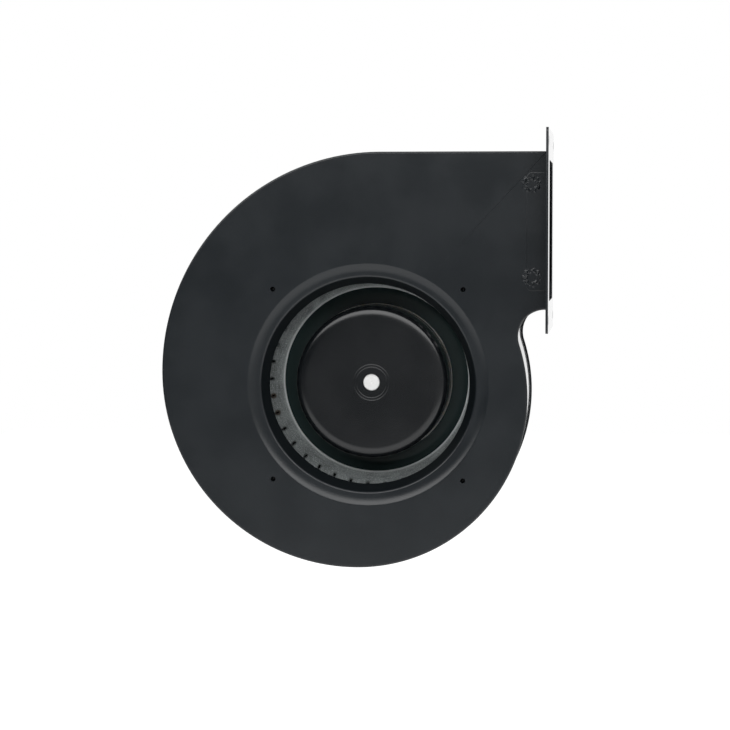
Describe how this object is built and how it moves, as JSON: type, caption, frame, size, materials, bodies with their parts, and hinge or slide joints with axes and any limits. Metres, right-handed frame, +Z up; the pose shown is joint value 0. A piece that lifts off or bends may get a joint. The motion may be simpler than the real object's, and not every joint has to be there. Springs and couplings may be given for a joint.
{
  "type": "dc blower fan",
  "caption": "Single-inlet centrifugal blower: sheet-steel scroll with pressed inlet nozzle, outlet flange and an external-rotor motor inside the impeller.",
  "frame": {"origin": "on the motor axis, at the outer face of the front side plate, which is the centre of the inlet guard's screw pattern", "axes": "+Z up, +X out of the outlet, -Y out of the inlet along the motor axis"},
  "size_m": [0.2325, 0.121, 0.2626],
  "materials": {
    "painted_steel": "satin black paint on sheet steel",
    "rotor_paint": "satin black coating",
    "galvanised_steel": "galvanised sheet, matt grey",
    "shaft_steel": "ground steel",
    "bearing_steel": "polished bearing steel",
    "zinc_steel": "bright zinc plated",
    "spring_steel": "blued spring steel",
    "cast_aluminium": "as-cast aluminium",
    "lamination_steel": "stacked electrical steel",
    "magnet": "bonded ferrite",
    "copper_wire": "enamelled copper",
    "insulator_plastic": "natural nylon",
    "board": "green solder mask",
    "black_plastic": "moulded black plastic",
    "capacitor_ceramic": "ceramic",
    "white_plastic": "white nylon",
    "black_rubber": "moulded rubber",
    "cage_polyamide": "brown polyamide"
  },
  "bodies": {
    "housing": {"front_side_plate": "painted_steel", "rear_side_plate": "painted_steel", "scroll_band": "painted_steel", "outlet_flange": "painted_steel", "motor_mount_plate": "painted_steel", "plate_screws": "zinc_steel", "clinch_nuts": "zinc_steel", "motor_screws": "zinc_steel", "cable_grommet": "black_rubber", "bearing_cap": "black_plastic", "stator_flange": "cast_aluminium", "stator_stack": "lamination_steel", "front_insulator": "insulator_plastic", "rear_insulator": "insulator_plastic", "stator_windings": "copper_wire", "circuit_board": "board", "board_spacers": "insulator_plastic", "power_transistors": "black_plastic", "controller_chip": "black_plastic", "board_capacitors": "capacitor_ceramic", "hall_sensors": "black_plastic", "lead_connector": "white_plastic", "preload_spring": "spring_steel", "front_bearing_outer_ring": "bearing_steel", "rear_bearing_outer_ring": "bearing_steel", "front_bearing_shields": "bearing_steel", "rear_bearing_shields": "bearing_steel"},
    "rotor": {"shaft": "shaft_steel", "rotor_can": "rotor_paint", "rotor_magnets": "magnet", "shaft_circlip": "spring_steel", "front_bearing_inner_ring": "bearing_steel", "rear_bearing_inner_ring": "bearing_steel", "support_disc": "galvanised_steel", "impeller_front_ring": "galvanised_steel", "impeller_rear_ring": "galvanised_steel", "impeller_blades": "galvanised_steel", "balance_clips": "zinc_steel"},
    "ball_cages": {"front_bearing_balls": "bearing_steel", "rear_bearing_balls": "bearing_steel", "front_bearing_cage": "cage_polyamide", "rear_bearing_cage": "cage_polyamide"}
  },
  "joints": [
    {"name": "rotor_spin", "type": "hinge", "parent": "housing", "child": "rotor", "pos_m": [0, 0.04, 0], "axis": [0, 1, 0], "continuous": true},
    {"name": "cage_spin", "type": "hinge", "parent": "housing", "child": "ball_cages", "pos_m": [0, 0.04, 0], "axis": [0, 1, 0], "continuous": true}
  ],
  "couplings": [
    {"joint": "cage_spin", "follows": "rotor_spin", "ratio": 0.3678}
  ]
}
